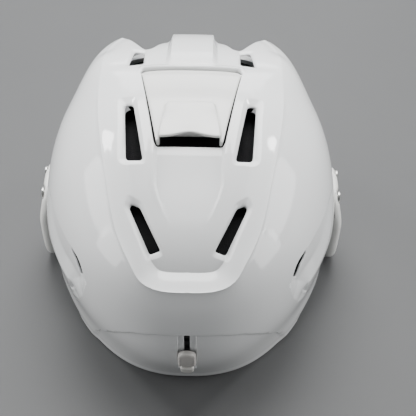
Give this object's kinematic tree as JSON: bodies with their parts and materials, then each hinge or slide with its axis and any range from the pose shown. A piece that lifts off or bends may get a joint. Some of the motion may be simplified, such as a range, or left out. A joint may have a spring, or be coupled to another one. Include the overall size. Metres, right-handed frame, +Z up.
{
  "type": "ice hockey helmet",
  "caption": "White adjustable ice hockey helmet: rear shell sliding over the front shell, flip lever on the crown, nape adjuster, ear guards, foam liner and chin strap.",
  "frame": {"origin": "centre of the footprint on the floor the helmet stands on", "axes": "+X is the wearer's right, +Y points forwards out of the forehead, +Z up"},
  "size_m": [0.2252, 0.2736, 0.178],
  "materials": {
    "shell": "gloss white",
    "lever": "gloss white",
    "guard": "gloss white, slightly translucent",
    "foam": "matte black foam",
    "comfort_foam": "matte dark grey foam",
    "steel": "plated",
    "webbing": "woven black",
    "adjuster": "satin light grey",
    "cup": "satin clear",
    "nylon": "satin black"
  },
  "bodies": {
    "rear": {"rear_shell": "shell", "lever_pin": "steel", "ear_guard_left": "guard", "ear_guard_right": "guard", "ear_guard_screws": "steel", "ear_guard_spacers": "nylon", "ear_guard_nuts": "steel", "rear_pad_left": "foam", "rear_pad_right": "foam", "side_pad_left": "foam", "side_pad_right": "foam", "crown_pad_rear": "foam", "shell_guide_posts": "nylon"},
    "front": {"front_shell": "shell", "lock_rack": "nylon", "forehead_pad_left": "foam", "forehead_pad_right": "foam", "forehead_pad_center": "foam", "temple_pad_left": "foam", "temple_pad_right": "foam", "crown_pad_front": "foam", "forehead_comfort_band": "comfort_foam", "visor_inserts": "steel", "cage_inserts": "steel", "strap_studs": "steel", "strap_left": "webbing", "strap_right": "webbing", "strap_buckle_female": "nylon", "strap_buckle_male": "nylon", "chin_cup": "cup"},
    "lever": {"lever_plate": "lever", "lever_thumb_tab": "lever", "lever_lock_pawl": "nylon"},
    "adjuster": {"adjuster_button": "adjuster", "adjuster_tab": "adjuster", "adjuster_stem": "nylon", "occipital_cradle": "nylon", "occipital_pad_left": "foam", "occipital_pad_right": "foam"}
  },
  "joints": [
    {"name": "shell_length_slide", "type": "slide", "parent": "rear", "child": "front", "axis": [0, 0.9945, -0.1045], "range_m": [-0.008, 0.008]},
    {"name": "lever_hinge", "type": "hinge", "parent": "rear", "child": "lever", "pos_m": [0, 0.0152, 0.17268], "axis": [-1, 0, 0], "range_deg": [0, 75]},
    {"name": "occipital_slide", "type": "hinge", "parent": "rear", "child": "adjuster", "pos_m": [0, -0.015, 0.084], "axis": [-1, 0, 0], "range_deg": [0, 5.8]}
  ]
}
